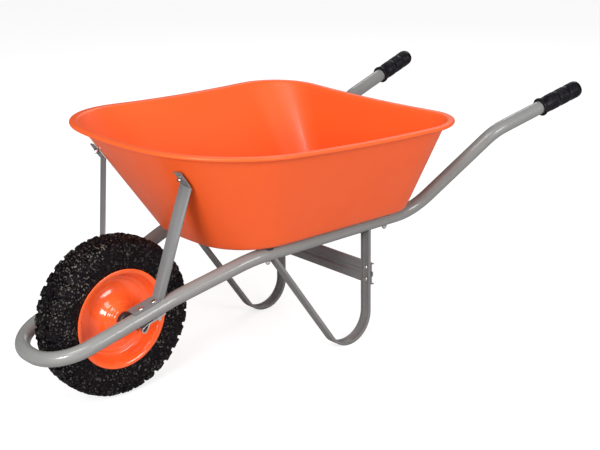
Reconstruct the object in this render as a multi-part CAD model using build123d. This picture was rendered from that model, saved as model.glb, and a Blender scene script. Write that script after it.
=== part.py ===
from build123d import *
import math
import os

# Single-wheel builder's wheelbarrow: pressed tray on a bent tube frame, pneumatic wheel in front.
#
# Millimetres. +X points forward to the wheel, +Y to the user's left, +Z up.
# Everything is drawn with the wheel's centre at X = 0, Z = tyre radius, and moved at the end
# so that the origin is the middle of the bounding box, on the ground.

# ---- general clearances ----
JOINT_GAP = 0.3  # between pieces on different bodies that don't fit in each other
RUNNING_FIT = 0.05  # radial play of a shaft in its bore
HOLE_PLAY = 0.25  # radial play of a bolt in its hole

# ---- frame tube ----
TUBE_D = 33.7
TUBE_WALL = 2.0
RAIL_Y = 160.0  # the two rails under the tray are parallel
RAIL_Z = 291.5
FRONT_BEND_X = -277.0  # where the rails start to fall towards the wheel
FRONT_BEND_R = 250.0
NECK = (-80.0, 121.0)  # x, y where the front run turns to pass the wheel
NECK_BEND_R = 200.0
LOOP_X = 211.0  # front of the loop round the wheel, tube centre
LOOP_HALF = 95.5
LOOP_Z = 152.0
LOOP_BEND_R = 95.0
REAR_BEND_X = -785.0
REAR_BEND_R = 120.0
KNEE = (-969.0, 265.0, 481.0)
KNEE_BEND_R = 100.0
HANDLE_DIRECTION = (-0.957, 0.138, 0.254)
HANDLE_LENGTH = 288.0  # from the knee to the end of the grip

# ---- grips ----
GRIP_LENGTH = 135.0
GRIP_D = 42.0
GRIP_END_WALL = 5.0
GRIP_COLLAR_D = 47.0
GRIP_COLLAR_LENGTH = 7.0
GRIP_RIBS = 3
GRIP_RIB_PITCH = 34.0
GRIP_RIB_LENGTH = 16.0
GRIP_RIB_HEIGHT = 0.8

# ---- wheel ----
TYRE_D = 370.0
TYRE_WIDTH = 89.0
TREAD_THICKNESS = 12.0
TYRE_SEAT_R = 100.0
TYRE_PROFILE_HEIGHT = 85.0  # section height that the profile's points are given at
RIM_SHEET = 2.0
HUB_TUBE_R = 14.0
HUB_TUBE_WALL = 3.0
HUB_HALF = 47.0
BUSH_FLANGE_R = 21.0
BUSH_FLANGE_LENGTH = 14.0
BUSH_BARREL_LENGTH = 22.0
INNER_TUBE_SEAT_R = 104.0
INNER_TUBE_PLAY = 1.0  # under the tread
INNER_TUBE_WALL = 2.0
VALVE_ANGLE = 150.0
VALVE_ROOT = (108.0, 8.0)  # distance from the axle, and from the wheel's middle
VALVE_DIRECTION = (-0.75, 0.66)
VALVE_R = 4.0
VALVE_HOLE_PLAY = 0.4
VALVE_LENGTH = 40.0
VALVE_CAP_R = 5.2
VALVE_CAP_LENGTH = 12.0
VALVE_CAP_COVER = 9.0

# ---- axle and its straps ----
AXLE_R = 6.0
AXLE_END_R = 5.0
AXLE_SHOULDER_Y = 104.0
AXLE_END_RECESS = 3.0
SPACER_R = 8.0
STRAP_THICKNESS = 2.0
STRAP_WIDTH = 20.0
STRAP_FIT = 0.05
STRAP_MEET = 13.0  # distances behind the axle, along the tube
STRAP_TAIL = 58.0

# ---- front struts ----
STRUT_WIDTH = 32.0
STRUT_SHEET = 3.0
STRUT_CREASE = 3.5
STRUT_TOP_AZIMUTH = 21.0  # where the upper bolt sits round the tray's corner
STRUT_TOP_DROP = 62.0  # height of the upper bolt below the rim
STRUT_BLADE_AZIMUTH = 13.0  # the way the blade faces
STRUT_TAB_UP = 17.0
STRUT_TAB_DOWN = 26.0
STRUT_FOOT_FRONT = 16.0
STRUT_FOOT_REAR = -50.0
STRUT_INSET = 8.0  # the foot and the blade stand inboard of the tube's middle
STRUT_TAB_TURN = 22.0  # the tab leans forward on the tray's corner
STRUT_RIVET_X = -4.0
STRUT_BOLT_X = -36.0
STRUT_HEAD_SEAT = 0.2  # the flat bolt head stands off the tray's hollow corner

# ---- stand legs ----
LEG_WIDTH = 28.0
LEG_SHEET = 2.5
LEG_FLANGE = 7.0
LEG_REAR_X = -631.0
LEG_FRONT_X = -331.0  # front strand where it meets the underside of the rail
LEG_FRONT_SLOPE = (0.576, 0.817)

# ---- cross brace ----
BRACE_BOTTOM_Z = 138.0
BRACE_HEIGHT = 54.0
BRACE_OVERHANG = 2.0
BRACE_SHEET = 2.0
BRACE_RIDGE_HEIGHT = 8.0
BRACE_RIDGE_DEPTH = 4.0
BRACE_LIP = 9.0
BRACE_BOLT_INSET = 11.5

# ---- tray ----
TRAY_SHEET = 1.5
PAD_THICKNESS = 3.0
PAD_R = 14.0
FLOOR_FRONT_X = -205.0
FLOOR_FRONT_CORNER = (-211.0, 190.0)
FLOOR_REAR_CORNER = (-768.0, 200.0)
FLOOR_FRONT_R = 145.0
FLOOR_REAR_R = 95.0
FLOOR_EDGE_R = 28.0
RIM_FRONT_X = -11.0
RIM_FRONT_CORNER = (-45.0, 324.0)
RIM_REAR_CORNER = (-803.0, 358.0)
RIM_FRONT_R = 240.0
RIM_REAR_R = 135.0
FRONT_BOW_R = 900.0  # slight bow of the front edge, floor and rim alike
RIM_FRONT_Z = 579.0
RIM_REAR_Z = 547.5
RIM_FLANGE_WIDTH = 13.0
RIM_BEAD_R = 4.5
TRAY_BOLT_X = (-318.0, -690.0)
PAD_SKIRT = 5.0

# ---- fasteners ----
M6_R = 3.0
M6_HEAD_R = 6.5
M6_HEAD_HEIGHT = 3.4
M6_NUT_ACROSS = 10.0
M6_NUT_HEIGHT = 5.0
M6_WASHER_R = 6.4
M6_WASHER_THICKNESS = 1.6
M6_THREAD_PROUD = 2.5
RIVET_R = 2.4
RIVET_HEAD_R = 6.0
RIVET_HEAD_HEIGHT = 3.0
RIVET_BULB_R = 3.6
RIVET_BULB_LENGTH = 4.0
RIVET_PLAY = 0.6  # the set end stays clear of the tube's curved inside

# ---- values worked out from the ones above ----
TUBE_R = TUBE_D / 2
TYRE_R = TYRE_D / 2
INNER_TUBE_R = (TYRE_R - TREAD_THICKNESS - INNER_TUBE_PLAY - INNER_TUBE_SEAT_R) / 2
INNER_TUBE_CENTRE_R = INNER_TUBE_SEAT_R + INNER_TUBE_R
AXLE_Z = TYRE_R
FRONT_SLOPE = (RAIL_Z - LOOP_Z) / (LOOP_X - FRONT_BEND_X)
FLOOR_Z = RAIL_Z + TUBE_R + PAD_THICKNESS
RIM_SLOPE = (RIM_FRONT_Z - RIM_REAR_Z) / (RIM_FRONT_X - RIM_REAR_CORNER[0])
FLANGE_LIFT = RIM_BEAD_R - TRAY_SHEET  # underside of the flange above the rim's plane
BUSH_FACE_Y = HUB_HALF + BUSH_FLANGE_LENGTH
BRACE_BOLT_Z = (BRACE_BOTTOM_Z + BRACE_BOLT_INSET, BRACE_BOTTOM_Z + BRACE_HEIGHT - BRACE_BOLT_INSET)
STRUT_PLATE_TOP = TUBE_R + STRUT_SHEET
LEG_TOP_Z = RAIL_Z - TUBE_R
LEG_RUN = LEG_FRONT_SLOPE[1] * (LEG_FRONT_X - LEG_REAR_X) - LEG_FRONT_SLOPE[0] * LEG_TOP_Z
LEG_BEND_R = LEG_RUN / (1 + LEG_FRONT_SLOPE[1] - LEG_FRONT_SLOPE[0])  # the bend just meets the ground

built = {}


def mirrored(shape):
    """The same piece on the other side of the barrow."""
    return mirror(shape, about=Plane.XZ)


def add_pair(name, left):
    """Register a left piece and its mirror image."""
    built[f"{name}_left"] = left
    built[f"{name}_right"] = mirrored(left)


def front_run_z(x):
    """Height of the tube's centre on the sloping front run."""
    return RAIL_Z - FRONT_SLOPE * (x - FRONT_BEND_X)


def front_run_y(x):
    """Distance of the tube's centre from the middle, forward of the neck."""
    share = (x - NECK[0]) / (LOOP_X - NECK[0])
    return NECK[1] + (LOOP_HALF - NECK[1]) * share


def front_run_plane(x):
    """Plane at the tube's centre at x: its X runs forward along the tube, its Z points up."""
    origin = Vector(x, front_run_y(x), front_run_z(x))
    ahead = Vector(x + 1, front_run_y(x + 1), front_run_z(x + 1))
    up = Vector(FRONT_SLOPE, 0, 1).normalized()
    return Plane(origin=origin, x_dir=ahead - origin, z_dir=up)


def wheel_plane(angle):
    """Plane through the axle: its X points out of the hub at the angle, its Y is the axle's."""
    turned = math.radians(angle)
    out = Vector(math.cos(turned), 0, math.sin(turned))
    return Plane(origin=(0, 0, AXLE_Z), x_dir=out, z_dir=out.cross(Vector(0, 1, 0)))


def turned_about_axle(profile):
    """Revolve a profile drawn with its X from the axle and its Y along the axle."""
    return Pos(0, 0, AXLE_Z) * revolve(profile, axis=Axis.Y)


def on_both_sides(left):
    """A left-hand plane and its mirror image, with their Z axes mirrored too."""
    right = Plane(
        origin=(left.origin.X, -left.origin.Y, left.origin.Z),
        x_dir=(left.x_dir.X, -left.x_dir.Y, left.x_dir.Z),
        z_dir=(left.z_dir.X, -left.z_dir.Y, left.z_dir.Z),
    )
    return [left, right]


def flipped(plane, depth):
    """The plane moved back along its Z by the depth and turned to face the other way."""
    return Plane(origin=plane.origin - plane.z_dir * depth, x_dir=plane.x_dir, z_dir=-plane.z_dir)


# ---------------------------------------------------------------- frame


def handle_end():
    """Where the handle tube's centre line reaches the outside of the grip's end."""
    direction = Vector(*HANDLE_DIRECTION).normalized()
    return Vector(*KNEE) + direction * HANDLE_LENGTH


def frame_path():
    """Centre line of the tube, from the left handle round the wheel to the right one."""
    direction = Vector(*HANDLE_DIRECTION).normalized()
    tube_end = handle_end() - direction * GRIP_END_WALL
    left = [
        tube_end,
        Vector(*KNEE),
        Vector(REAR_BEND_X, RAIL_Y, RAIL_Z),
        Vector(FRONT_BEND_X, RAIL_Y, RAIL_Z),
        Vector(NECK[0], NECK[1], front_run_z(NECK[0])),
        Vector(LOOP_X, LOOP_HALF, LOOP_Z),
    ]
    right = [Vector(p.X, -p.Y, p.Z) for p in reversed(left)]
    bends = [KNEE_BEND_R, REAR_BEND_R, FRONT_BEND_R, NECK_BEND_R, LOOP_BEND_R]
    return FilletPolyline(*left, *right, radius=bends + bends[::-1])


def swept_along(path, section):
    """Sweep a round section along the tube's path, with its seam on the tube's side."""
    sideways = Vector(0, 0, 1).cross(path % 0)
    return sweep(Plane(origin=path @ 0, x_dir=sideways, z_dir=path % 0) * section, path=path)


def make_frame(path):
    """The bent tube, drilled for the tray bolts, strut bolts and rivets."""
    tube = swept_along(path, Circle(TUBE_R) - Circle(TUBE_R - TUBE_WALL))
    for plane in tray_bolt_planes():
        tube -= plane * Cylinder(M6_R + HOLE_PLAY, 4 * TUBE_D)
    for plane in on_both_sides(front_run_plane(STRUT_BOLT_X)):
        tube -= plane * Cylinder(M6_R + HOLE_PLAY, 2 * TUBE_D)
    for plane in on_both_sides(front_run_plane(STRUT_RIVET_X)):
        tube -= plane * Pos(0, 0, TUBE_R) * Cylinder(RIVET_R, TUBE_R)
    return tube


def make_grip():
    """Left handle grip: a closed sleeve over the tube's end with a collar and shallow ribs."""
    end = handle_end()
    inward = (Vector(*KNEE) - end).normalized()
    plane = Plane(origin=end, z_dir=inward)
    body = Cylinder(GRIP_D / 2, GRIP_LENGTH, align=(Align.CENTER, Align.CENTER, Align.MIN))
    body = fillet(body.edges().sort_by(Axis.Z)[0], GRIP_D / 6)
    collar_place = Pos(0, 0, GRIP_LENGTH - GRIP_COLLAR_LENGTH / 2)
    collar = Cylinder(GRIP_COLLAR_D / 2, GRIP_COLLAR_LENGTH)
    body += collar_place * fillet(collar.edges().filter_by(GeomType.CIRCLE), 1.5)
    for index in range(GRIP_RIBS):
        centre = GRIP_END_WALL + GRIP_RIB_LENGTH + index * GRIP_RIB_PITCH
        body += Pos(0, 0, centre) * Cylinder(GRIP_D / 2 + GRIP_RIB_HEIGHT, GRIP_RIB_LENGTH)
    bore = Cylinder(TUBE_R, GRIP_LENGTH, align=(Align.CENTER, Align.CENTER, Align.MIN))
    return plane * (body - Pos(0, 0, GRIP_END_WALL) * bore)


# ---------------------------------------------------------------- tray


def tray_outline(front_x, front_corner, rear_corner, front_r, rear_r):
    """Rounded plan outline of the tray, as a face in the XY plane."""
    (fx, fy), (rx, ry) = front_corner, rear_corner
    points = [(front_x, 0), (fx, fy), (rx, ry), (rx, -ry), (fx, -fy)]
    radii = [FRONT_BOW_R, front_r, rear_r, rear_r, front_r]
    return make_face(FilletPolyline(*points, radius=radii, close=True))


def floor_outline(inset):
    """Outline of the tray's floor before its edge is rounded, drawn in by the inset."""
    face = tray_outline(
        FLOOR_FRONT_X, FLOOR_FRONT_CORNER, FLOOR_REAR_CORNER, FLOOR_FRONT_R, FLOOR_REAR_R
    )
    return offset(face, amount=-inset) if inset else face


def rim_outline(inset):
    """Outline of the rim at the centre of the rolled edge, drawn in by the inset."""
    face = tray_outline(RIM_FRONT_X, RIM_FRONT_CORNER, RIM_REAR_CORNER, RIM_FRONT_R, RIM_REAR_R)
    return offset(face, amount=-inset) if inset else face


def rim_z(x):
    """Height of the rim at x, at the centre of the rolled edge."""
    return RIM_REAR_Z + RIM_SLOPE * (x - RIM_REAR_CORNER[0])


def rim_plane(lift):
    """The plane of the rim, which falls a little from front to rear, lifted by a height."""
    along = Vector(1, 0, RIM_SLOPE)
    up = Vector(-RIM_SLOPE, 0, 1).normalized()
    return Plane(origin=Vector(0, 0, rim_z(0)) + up * lift, x_dir=along, z_dir=up)


def tray_pan(inset, floor_lift, rim_lift, edge_r):
    """Solid pan from the floor outline to the rim outline, with its lower edge rounded."""
    bottom = Pos(0, 0, FLOOR_Z + floor_lift) * floor_outline(inset)
    top = rim_plane(rim_lift) * rim_outline(RIM_FLANGE_WIDTH + inset)
    pan = loft([bottom, top], ruled=True)
    return fillet(pan.faces().sort_by(Axis.Z)[0].edges(), edge_r)


def make_tray():
    """Pressed tray: pan, flat flange and rolled edge, drilled for its bolts."""
    outer = tray_pan(0.0, 0.0, FLANGE_LIFT, FLOOR_EDGE_R)
    inner = tray_pan(TRAY_SHEET, TRAY_SHEET, RIM_BEAD_R, FLOOR_EDGE_R - TRAY_SHEET)
    mouth = rim_outline(RIM_FLANGE_WIDTH + TRAY_SHEET)
    flange = extrude(rim_plane(FLANGE_LIFT) * rim_outline(TRAY_SHEET), amount=TRAY_SHEET)
    rail = rim_outline(0.0).face().outer_wire()
    across_rail = Plane(origin=rail @ 0, z_dir=rail % 0)
    bead = sweep(across_rail * Circle(RIM_BEAD_R), path=rail)
    inside_bead = sweep(across_rail * Circle(RIM_BEAD_R - TRAY_SHEET), path=rail)
    tray = outer + flange + rim_plane(0.0) * bead
    tray -= inner
    tray -= extrude(rim_plane(FLANGE_LIFT) * mouth, amount=2 * TRAY_SHEET)
    tray -= rim_plane(0.0) * inside_bead
    for plane in tray_bolt_planes() + strut_top_planes():
        tray -= plane * Cylinder(M6_R + HOLE_PLAY, 6 * TRAY_SHEET)
    return tray


def tray_bolt_planes():
    """Planes on the underside of the floor over the rails, Z up into the tray."""
    return [Plane(origin=(x, side * RAIL_Y, FLOOR_Z)) for x in TRAY_BOLT_X for side in (1, -1)]


def corner_arc_point(face, outward):
    """Point on the front left corner arc of an outline, where it faces the given way."""
    arcs = face.edges().filter_by(GeomType.CIRCLE)
    arc = min(arcs, key=lambda edge: (Vector(0, RIM_FRONT_CORNER[1], 0) - edge.center()).length)
    return arc.arc_center + outward * arc.radius


def strut_top_plane():
    """Plane on the outside of the tray's front left corner at the strut's bolt, Z outwards."""
    turned = math.radians(STRUT_TOP_AZIMUTH)
    outward = Vector(math.cos(turned), math.sin(turned), 0)
    low = corner_arc_point(floor_outline(0.0), outward) + Vector(0, 0, FLOOR_Z)
    high = corner_arc_point(rim_outline(RIM_FLANGE_WIDTH), outward)
    high += Vector(0, 0, rim_z(high.X) + FLANGE_LIFT)
    share = 1 - STRUT_TOP_DROP / (high.Z - low.Z)
    sideways = Vector(0, 0, 1).cross(outward)
    return Plane(
        origin=low + (high - low) * share, x_dir=sideways, z_dir=sideways.cross(high - low)
    )


def tray_wall_at(plane):
    """Thickness of the tray's wall along the Z of a plane on its outside."""
    out = plane.z_dir
    return TRAY_SHEET * (math.hypot(out.X, out.Y) + abs(out.Z))


def strut_top_planes():
    """The strut's upper bolt planes on both sides."""
    return on_both_sides(strut_top_plane())


# ---------------------------------------------------------------- struts, legs and brace


def make_strut(tray_outside, rod):
    """Left front strut: foot on the tube, creased blade, tab on the tray's corner."""
    top = strut_top_plane()
    tab_height = STRUT_TAB_UP + STRUT_TAB_DOWN
    tab = Box(STRUT_WIDTH, tab_height, STRUT_SHEET, align=(Align.CENTER, Align.MIN, Align.MIN))
    leaning = top.rotated((0, 0, -STRUT_TAB_TURN))
    strut = leaning * Pos(0, -STRUT_TAB_DOWN, 0) * fillet(tab.edges().filter_by(Axis.Z), STRUT_SHEET)

    foot_middle = front_run_plane((STRUT_FOOT_FRONT + STRUT_FOOT_REAR) / 2)
    foot_length = (STRUT_FOOT_FRONT - STRUT_FOOT_REAR) / foot_middle.x_dir.X
    foot = Box(foot_length, STRUT_WIDTH, STRUT_SHEET, align=(Align.CENTER, Align.CENTER, Align.MIN))
    foot_place = foot_middle * Pos(0, -STRUT_INSET, TUBE_R)
    foot = foot_place * fillet(foot.edges().filter_by(Axis.Z), STRUT_SHEET)

    foot_end = front_run_plane(STRUT_FOOT_REAR)
    low = foot_end.origin + foot_end.z_dir * TUBE_R - foot_end.y_dir * STRUT_INSET
    high = top.origin - leaning.y_dir * (STRUT_TAB_DOWN - STRUT_SHEET) + top.z_dir * STRUT_SHEET
    along = (high - low).normalized()
    turned = math.radians(STRUT_BLADE_AZIMUTH)
    facing = Vector(math.cos(turned), math.sin(turned), 0)
    half = STRUT_WIDTH / 2
    section = Polygon(
        (half, 0), (0, STRUT_CREASE), (-half, 0),
        (-half, -STRUT_SHEET), (0, STRUT_CREASE - STRUT_SHEET), (half, -STRUT_SHEET),
        align=None,
    )
    start = Plane(origin=low - along * half, x_dir=facing.cross(along), z_dir=along)
    strut += start * extrude(section, amount=(high - low).length + half)
    under_foot = Box(TUBE_D * 3, TUBE_D * 3, TUBE_D, align=(Align.CENTER, Align.CENTER, Align.MAX))
    strut -= foot_place * under_foot
    strut += foot
    strut -= rod
    strut -= tray_outside
    strut -= top * Cylinder(M6_R + HOLE_PLAY, 6 * STRUT_SHEET)
    outward = (Align.CENTER, Align.CENTER, Align.MIN)
    washer_room = Cylinder(M6_WASHER_R + JOINT_GAP, STRUT_WIDTH, align=outward)
    strut -= top * Pos(0, 0, STRUT_SHEET) * washer_room
    strut -= front_run_plane(STRUT_BOLT_X) * Cylinder(M6_R + HOLE_PLAY, 4 * TUBE_R)
    strut -= front_run_plane(STRUT_RIVET_X) * Cylinder(RIVET_R, 4 * TUBE_R)
    return max(strut.solids(), key=lambda solid: solid.volume)


def make_leg(rod):
    """Left stand leg: a channel bent into a V with a round bottom, welded under the rail."""
    slope = Vector(LEG_FRONT_SLOPE[0], 0, LEG_FRONT_SLOPE[1]).normalized()
    front_top = Vector(LEG_FRONT_X, 0, LEG_TOP_Z) + slope * TUBE_R / slope.Z
    rear_top = Vector(LEG_REAR_X, 0, RAIL_Z)
    corner = Vector(LEG_REAR_X, 0, front_top.Z - (front_top.X - LEG_REAR_X) * slope.Z / slope.X)
    path = FilletPolyline(front_top, corner, rear_top, radius=LEG_BEND_R)
    half = LEG_WIDTH / 2
    section = Polygon(
        (-half, 0), (half, 0), (half, -LEG_FLANGE), (half - LEG_SHEET, -LEG_FLANGE),
        (half - LEG_SHEET, -LEG_SHEET), (LEG_SHEET - half, -LEG_SHEET),
        (LEG_SHEET - half, -LEG_FLANGE), (-half, -LEG_FLANGE),
        align=None,
    )
    start = Plane(origin=path @ 0, x_dir=(0, 1, 0), z_dir=path % 0)
    leg = Pos(0, RAIL_Y, 0) * sweep(start * section, path=path)
    leg -= rod
    for z in BRACE_BOLT_Z:
        leg -= Pos(LEG_REAR_X, RAIL_Y, z) * Rot(0, 90, 0) * Cylinder(M6_R + HOLE_PLAY, 4 * LEG_SHEET)
    return max(leg.solids(), key=lambda solid: solid.volume)


def make_brace():
    """Pressed cross brace bolted behind the legs."""
    back = LEG_REAR_X
    front = back - BRACE_SHEET
    top = BRACE_BOTTOM_Z + BRACE_HEIGHT
    middle = BRACE_BOTTOM_Z + BRACE_HEIGHT / 2
    inner = BRACE_SHEET / 2
    line = FilletPolyline(
        (back - BRACE_LIP, BRACE_BOTTOM_Z + inner),
        (back - inner, BRACE_BOTTOM_Z + inner),
        (back - inner, middle - BRACE_RIDGE_HEIGHT),
        (back - inner - BRACE_RIDGE_DEPTH, middle - BRACE_RIDGE_HEIGHT / 2),
        (back - inner - BRACE_RIDGE_DEPTH, middle + BRACE_RIDGE_HEIGHT / 2),
        (back - inner, middle + BRACE_RIDGE_HEIGHT),
        (back - inner, top - inner),
        (back - BRACE_LIP, top - inner),
        radius=1.5,
    )
    half = RAIL_Y + LEG_WIDTH / 2 + BRACE_OVERHANG
    section = Plane.XZ * trace(line, line_width=BRACE_SHEET)
    brace = extrude(section, amount=half, both=True)
    for side in (1, -1):
        for z in BRACE_BOLT_Z:
            hole = Rot(0, 90, 0) * Cylinder(M6_R + HOLE_PLAY, 6 * BRACE_SHEET)
            brace -= Pos(front, side * RAIL_Y, z) * hole
    return brace


# ---------------------------------------------------------------- axle group


def make_strap():
    """Left axle strap: a folded strip looped round the axle's end and clamped under the tube."""
    slope = math.atan(FRONT_SLOPE)
    under_z = front_run_z(0) - TUBE_R / math.cos(slope)
    place = Plane(
        origin=(0, AXLE_SHOULDER_Y, under_z),
        x_dir=(-math.cos(slope), 0, math.sin(slope)),
        z_dir=(0, 1, 0),
    )
    axle = place.to_local_coords(Vector(0, AXLE_SHOULDER_Y, AXLE_Z))
    inner_r = AXLE_END_R + STRAP_FIT
    double = 2 * STRAP_THICKNESS
    away = math.copysign(1, axle.Y)
    meet = Pos(STRAP_MEET, away * double / 2) * Rectangle(STRAP_THICKNESS, double)
    outer = make_hull((Pos(axle.X, axle.Y) * Circle(inner_r + STRAP_THICKNESS)).edges() + meet.edges())
    wedge = Pos(STRAP_MEET - STRAP_THICKNESS, away * double / 2) * Circle(RUNNING_FIT)
    opening = make_hull((Pos(axle.X, axle.Y) * Circle(inner_r)).edges() + wedge.edges())
    tail_length = STRAP_TAIL - STRAP_MEET
    tail = Pos(STRAP_MEET + tail_length / 2, away * double / 2) * Rectangle(tail_length, double)
    strap = place * extrude(outer - opening + tail, amount=STRAP_WIDTH)
    strap -= front_run_plane(STRUT_BOLT_X) * Cylinder(M6_R + HOLE_PLAY, 4 * TUBE_R)
    return strap


def make_axle():
    """Fixed axle with turned-down ends."""
    end_y = AXLE_SHOULDER_Y + STRAP_WIDTH - AXLE_END_RECESS
    along = Rot(90, 0, 0)
    axle = along * Cylinder(AXLE_R, 2 * AXLE_SHOULDER_Y) + along * Cylinder(AXLE_END_R, 2 * end_y)
    return Pos(0, 0, AXLE_Z) * axle


def make_spacer():
    """Left spacer sleeve between the hub and the strap."""
    start = BUSH_FACE_Y + JOINT_GAP
    profile = Pos((AXLE_R + SPACER_R) / 2, (start + AXLE_SHOULDER_Y) / 2)
    return turned_about_axle(profile * Rectangle(SPACER_R - AXLE_R, AXLE_SHOULDER_Y - start))


# ---------------------------------------------------------------- wheel


def make_hub_tube():
    """Steel tube the rim halves are welded to."""
    profile = Pos(HUB_TUBE_R - HUB_TUBE_WALL / 2, 0) * Rectangle(HUB_TUBE_WALL, 2 * HUB_HALF)
    return turned_about_axle(profile)


def make_bush():
    """Left plastic bush with a rounded flange, running on the axle."""
    bore = AXLE_R + RUNNING_FIT
    barrel_r = HUB_TUBE_R - HUB_TUBE_WALL
    face = HUB_HALF + BUSH_FLANGE_LENGTH
    barrel = Polygon(
        (bore, HUB_HALF - BUSH_BARREL_LENGTH), (barrel_r, HUB_HALF - BUSH_BARREL_LENGTH),
        (barrel_r, HUB_HALF), (BUSH_FLANGE_R, HUB_HALF), (BUSH_FLANGE_R, face), (bore, face),
        align=None,
    )
    bush = turned_about_axle(barrel)
    outer_edge = bush.edges().filter_by(GeomType.CIRCLE).sort_by(Axis.Y)[-2:]
    widest = max(outer_edge, key=lambda edge: edge.radius)
    return fillet(widest, BUSH_FLANGE_LENGTH / 2)


def make_rim_half():
    """Left pressed rim half: flange, bead seat, dish and hub boss."""
    sheet = RIM_SHEET / 2
    line = FilletPolyline(
        (115, 37.5), (104.5, 35.0), (100.5, 30.0), (95.5, 12.0), (84, sheet),
        (44, sheet), (37, 6.0), (31, 30.0), (27, 42.0), (HUB_TUBE_R, 44.5),
        radius=2.5,
    )
    rim = turned_about_axle(trace(line, line_width=RIM_SHEET))
    rim -= Pos(0, 0, AXLE_Z) * Rot(90, 0, 0) * Cylinder(HUB_TUBE_R, 4 * HUB_HALF)
    left = (Align.CENTER, Align.MIN, Align.CENTER)
    return rim & Pos(0, 0, AXLE_Z) * Box(2 * TYRE_R, 4 * HUB_HALF, 2 * TYRE_R, align=left)


def tyre_skin(points, crown_r):
    """Symmetric section line from (height above the seat, Y) points, through the crown."""
    scale = (TYRE_R - TYRE_SEAT_R) / TYRE_PROFILE_HEIGHT
    placed = [(TYRE_SEAT_R + height * scale, y) for height, y in points]
    return Spline(*placed, (crown_r, 0), *[(r, -y) for r, y in reversed(placed)])


def make_tyre():
    """Tyre carcass with notched shoulders."""
    half = TYRE_WIDTH / 2
    outside = [(2, 29), (7.5, 34.1), (14.5, 35.6), (20, 38.6), (41, half), (66, half - 5), (80, half - 20)]
    inside = [(0.2, 22), (15, half - 13), (41, half - 7), (62, half - 13), (70, half - 26)]
    outer = tyre_skin(outside, TYRE_R)
    inner = tyre_skin(inside, TYRE_R - TREAD_THICKNESS)
    tyre = turned_about_axle(
        make_face([outer, Line(outer @ 1, inner @ 1), inner, Line(inner @ 0, outer @ 0)])
    )
    return tyre


def make_inner_tube():
    """Inflated inner tube."""
    ring = Circle(INNER_TUBE_R) - Circle(INNER_TUBE_R - INNER_TUBE_WALL)
    return turned_about_axle(Pos(INNER_TUBE_CENTRE_R, 0) * ring)


# ---------------------------------------------------------------- fasteners


def bolt(grip):
    """Round-headed bolt: head on top of Z = 0, shank down through the grip and a nut."""
    head = Cylinder(M6_HEAD_R, M6_HEAD_HEIGHT, align=(Align.CENTER, Align.CENTER, Align.MIN))
    head = fillet(head.edges().filter_by(GeomType.CIRCLE).sort_by(Axis.Z)[-1], M6_HEAD_HEIGHT * 0.9)
    length = grip + M6_NUT_HEIGHT + M6_THREAD_PROUD
    return head + Cylinder(M6_R, length, align=(Align.CENTER, Align.CENTER, Align.MAX))


def nut():
    """Hexagon nut below Z = 0."""
    body = extrude(RegularPolygon(M6_NUT_ACROSS / 2, 6, major_radius=False), amount=-M6_NUT_HEIGHT)
    return body - Cylinder(M6_R, 4 * M6_NUT_HEIGHT)


def washer():
    """Flat washer below Z = 0."""
    ring = Circle(M6_WASHER_R) - Circle(M6_R + HOLE_PLAY)
    return extrude(ring, amount=-M6_WASHER_THICKNESS)


def rivet(grip):
    """Domed blind rivet: head on top of Z = 0, set end under the grip."""
    head = Cylinder(RIVET_HEAD_R, RIVET_HEAD_HEIGHT, align=(Align.CENTER, Align.CENTER, Align.MIN))
    head = fillet(head.edges().filter_by(GeomType.CIRCLE).sort_by(Axis.Z)[-1], RIVET_HEAD_HEIGHT * 0.9)
    shank = Cylinder(RIVET_R, grip + RIVET_BULB_LENGTH, align=(Align.CENTER, Align.CENTER, Align.MAX))
    bulb = Cylinder(RIVET_BULB_R, RIVET_BULB_LENGTH, align=(Align.CENTER, Align.CENTER, Align.MAX))
    return head + shank + Pos(0, 0, -grip) * bulb


def add_fastening(name, planes, grip):
    """Register bolts, washers and nuts on planes whose Z points out of the clamped stack."""
    under = Pos(0, 0, -grip)
    below = Pos(0, 0, -grip - M6_WASHER_THICKNESS)
    built[f"{name}_bolts"] = Compound([plane * bolt(grip + M6_WASHER_THICKNESS) for plane in planes])
    built[f"{name}_washers"] = Compound([plane * under * washer() for plane in planes])
    built[f"{name}_nuts"] = Compound([plane * below * nut() for plane in planes])


def make_pads(rod):
    """Rubber pads between the tray's floor and the rails, hollowed to sit on the tube."""
    pad = Cylinder(PAD_R, PAD_THICKNESS + PAD_SKIRT, align=(Align.CENTER, Align.CENTER, Align.MAX))
    pad -= Cylinder(M6_R + HOLE_PLAY, 4 * (PAD_THICKNESS + PAD_SKIRT))
    pads = []
    for plane in tray_bolt_planes():
        pads += (plane * pad - rod).solids()
    return Compound(pads)


def make_valve():
    """Valve stem and cap on the right side of the wheel, standing out of the rim's dish."""
    out = Vector(*VALVE_DIRECTION, 0).normalized()
    root = wheel_plane(VALVE_ANGLE)
    place = root * Plane(origin=(*VALVE_ROOT, 0), z_dir=out)
    stem = place * Cylinder(VALVE_R, VALVE_LENGTH, align=(Align.CENTER, Align.CENTER, Align.MIN))
    cap = Cylinder(VALVE_CAP_R, VALVE_CAP_LENGTH, align=(Align.CENTER, Align.CENTER, Align.MIN))
    cap = fillet(cap.edges().filter_by(GeomType.CIRCLE).sort_by(Axis.Z)[-1], VALVE_CAP_R / 3)
    bore = Cylinder(VALVE_R, VALVE_CAP_COVER, align=(Align.CENTER, Align.CENTER, Align.MIN))
    cap = place * Pos(0, 0, VALVE_LENGTH - VALVE_CAP_COVER) * (cap - bore)
    hole = place * Cylinder(VALVE_R + VALVE_HOLE_PLAY, 2 * VALVE_LENGTH)
    return mirrored(stem), mirrored(cap), mirrored(hole)


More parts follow.
